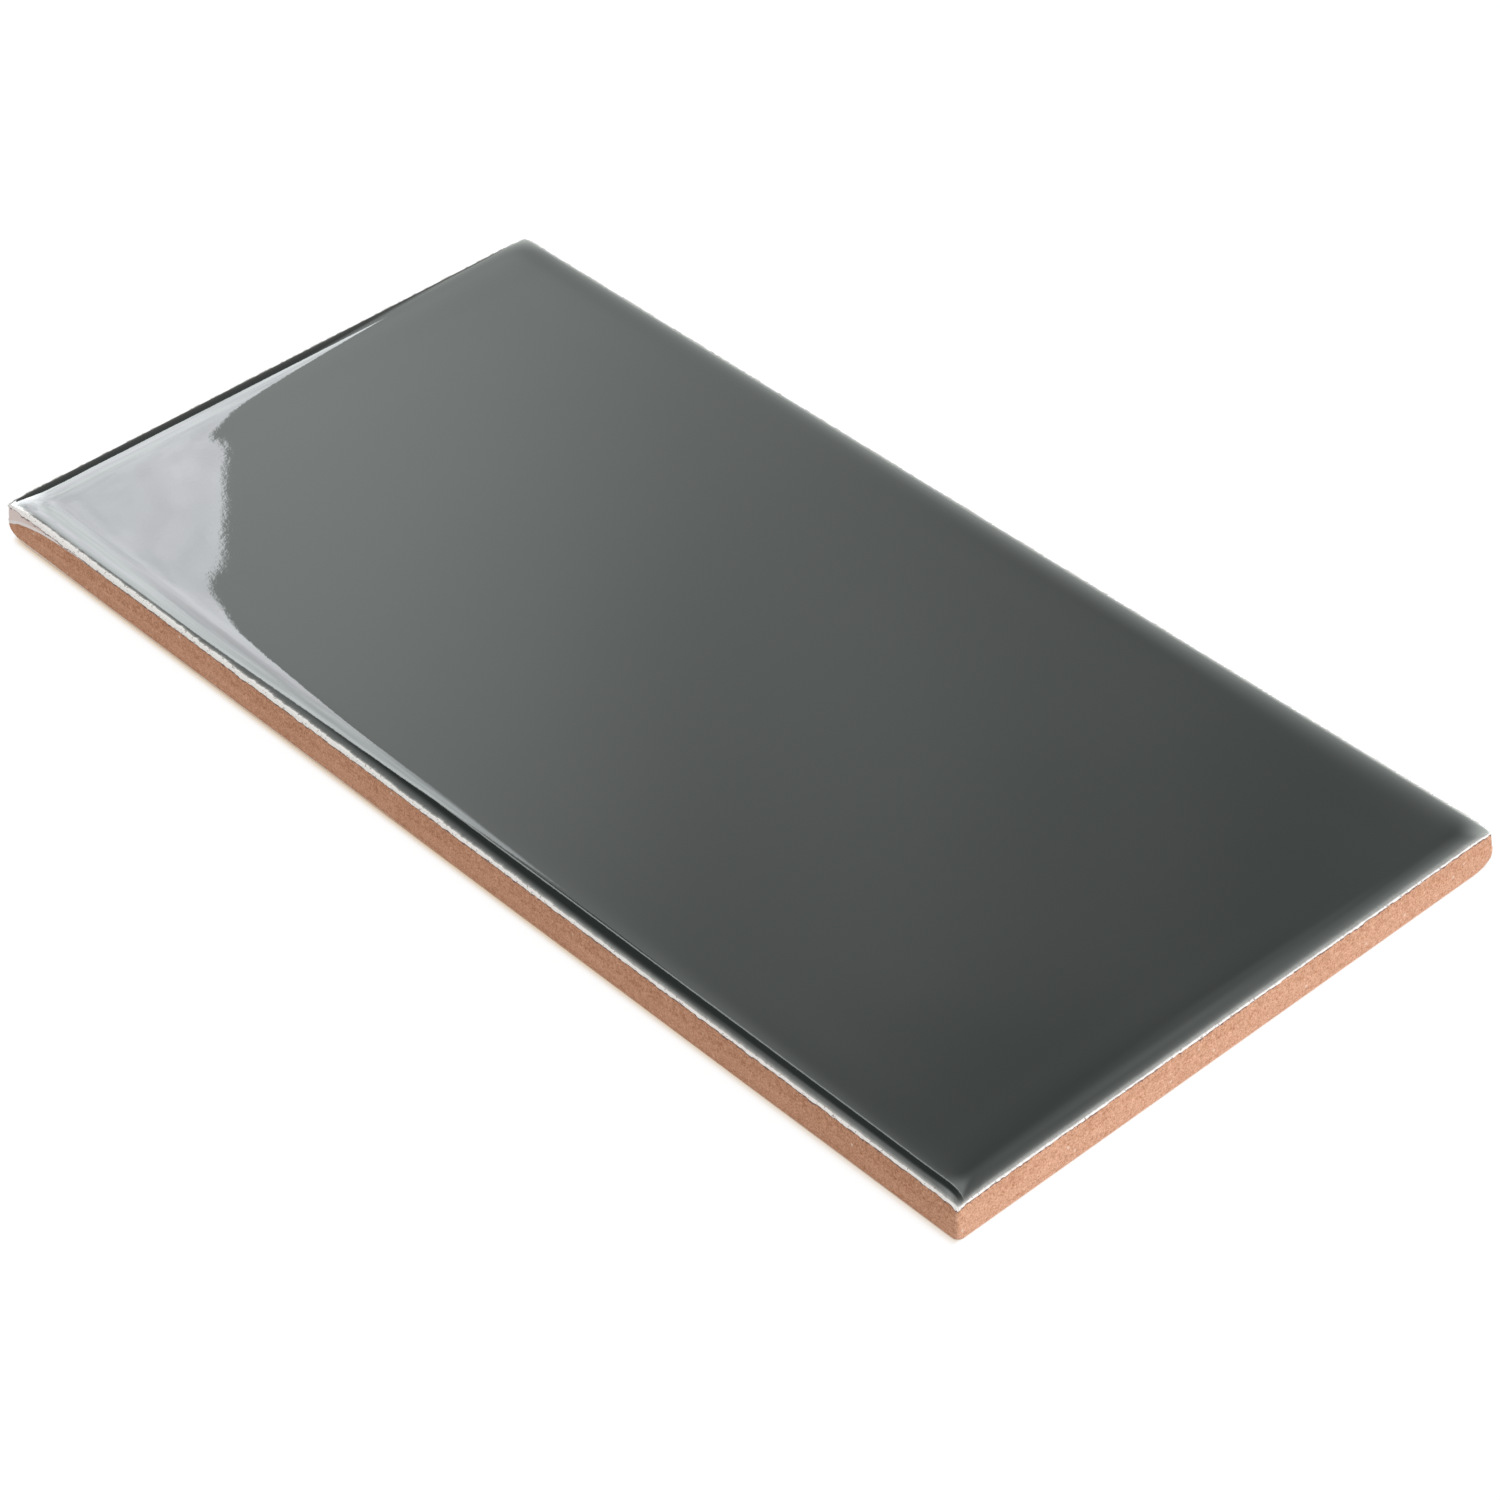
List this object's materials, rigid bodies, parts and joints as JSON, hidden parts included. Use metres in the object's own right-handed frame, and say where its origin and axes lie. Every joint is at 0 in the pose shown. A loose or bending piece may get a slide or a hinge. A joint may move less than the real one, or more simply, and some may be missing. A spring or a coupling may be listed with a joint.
{
  "type": "ceramic wall tile",
  "caption": "Rectangular 200 x 100 mm red-bodied ceramic wall tile with a glossy dark grey glazed face, rounded glaze edges and a keyed back.",
  "frame": {"origin": "middle of the bedding face at the back of the tile, on the crossing of the two middle ribs", "axes": "+X along the 200 mm length, +Y along the 100 mm width, +Z through the thickness and out of the glazed face"},
  "size_m": [0.2, 0.1, 0.007],
  "materials": {
    "tile": "gloss"
  },
  "bodies": {
    "root": {"tile": "tile"}
  },
  "joints": []
}
